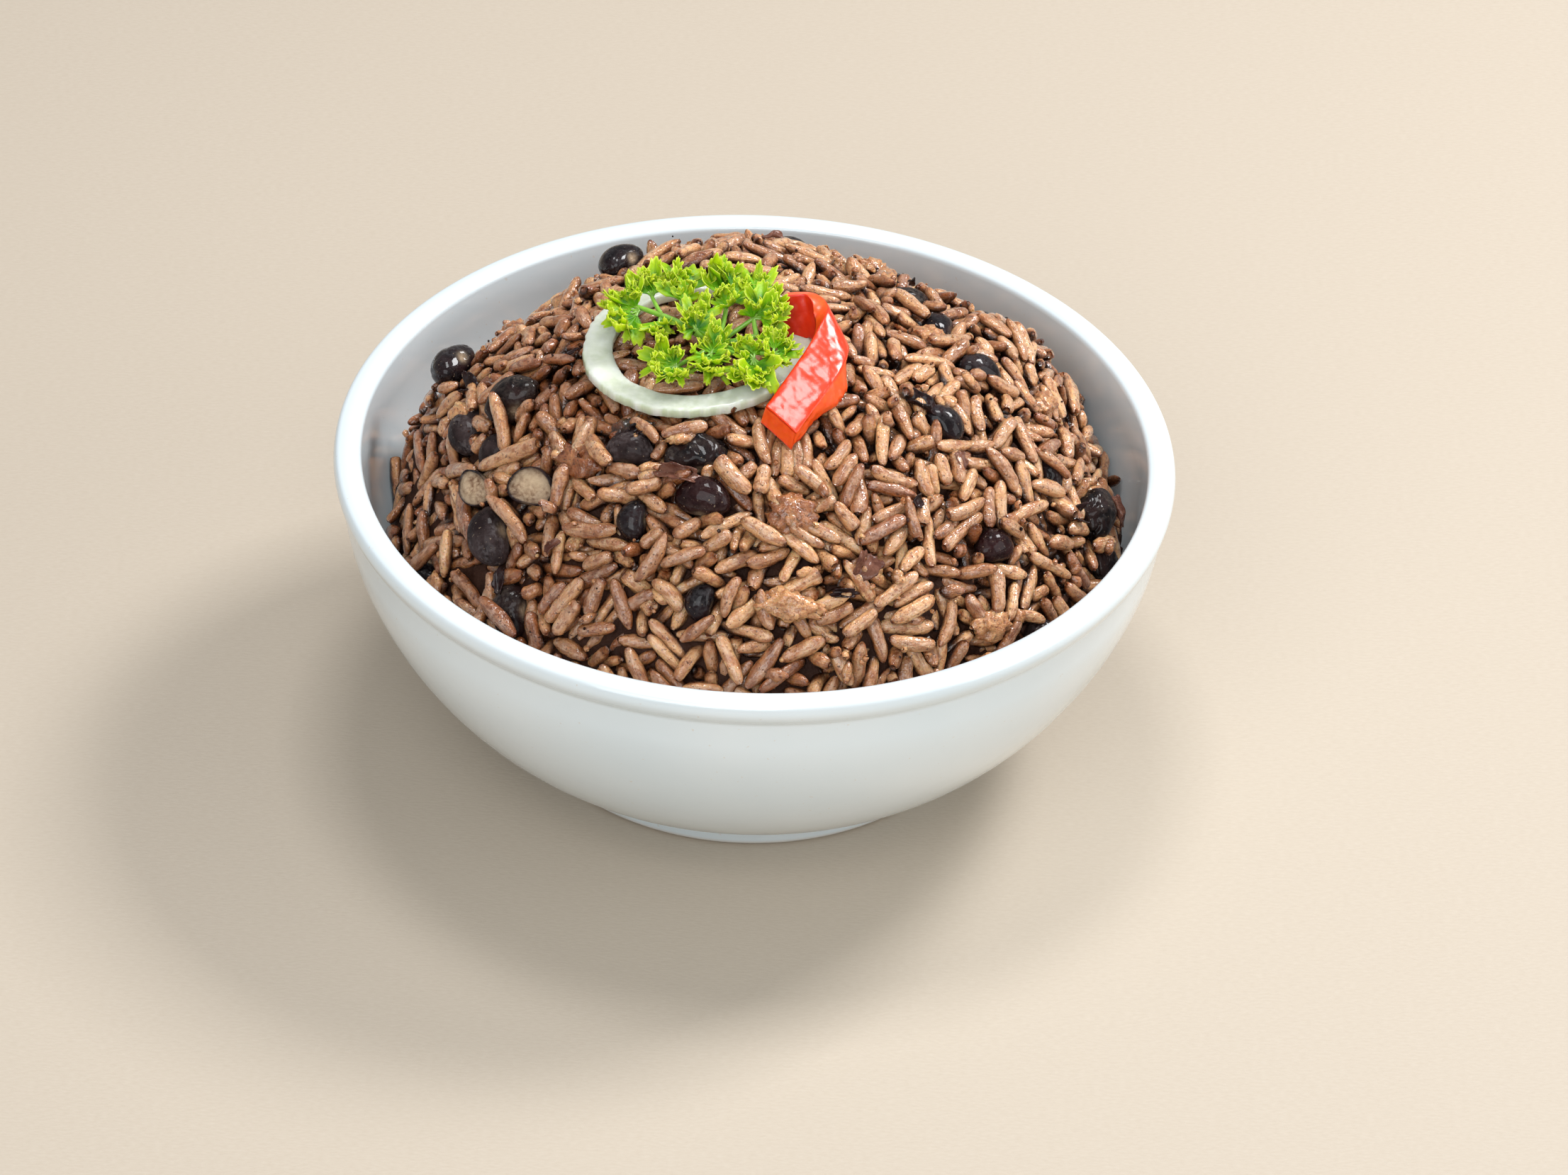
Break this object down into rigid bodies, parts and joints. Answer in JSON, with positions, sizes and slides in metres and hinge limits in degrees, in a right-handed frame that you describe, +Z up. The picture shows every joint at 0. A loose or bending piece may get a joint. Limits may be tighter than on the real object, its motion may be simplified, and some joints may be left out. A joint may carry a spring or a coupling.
{
  "type": "bowl of rice and black beans",
  "caption": "Round white footed bowl heaped with rice and black beans, topped with an onion ring, a curl of red pepper and a parsley sprig.",
  "frame": {"origin": "on the bowl's axis, at the level of the flat foot ring it rests on", "axes": "+Z up along the bowl's axis, +X to the right and -Y towards the viewer who sees the pepper strip at the right of the onion ring"},
  "size_m": [0.155, 0.155, 0.0957],
  "materials": {
    "glaze": "glossy white glaze",
    "rice": "moist cooked rice stained brown by the beans",
    "bean": "cooked black bean skin, shiny where wet",
    "onion": "raw onion, translucent and moist",
    "pepper": "raw red pepper, waxy skin outside and moist flesh inside",
    "parsley": "fresh curly parsley leaf"
  },
  "bodies": {
    "root": {"bowl": "glaze", "rice": "rice", "bean_01": "bean", "bean_02": "bean", "bean_03": "bean", "bean_04": "bean", "bean_05": "bean", "bean_06": "bean", "bean_07": "bean", "bean_08": "bean", "bean_09": "bean", "bean_10": "bean", "bean_11": "bean", "bean_12": "bean", "bean_13": "bean", "bean_14": "bean", "bean_15": "bean", "bean_16": "bean", "bean_17": "bean", "bean_18": "bean", "bean_19": "bean", "bean_20": "bean", "bean_21": "bean", "bean_22": "bean", "bean_23": "bean", "bean_24": "bean", "bean_25": "bean", "bean_26": "bean", "bean_27": "bean", "bean_28": "bean", "onion_ring": "onion", "pepper_strip": "pepper", "parsley": "parsley"}
  },
  "joints": []
}
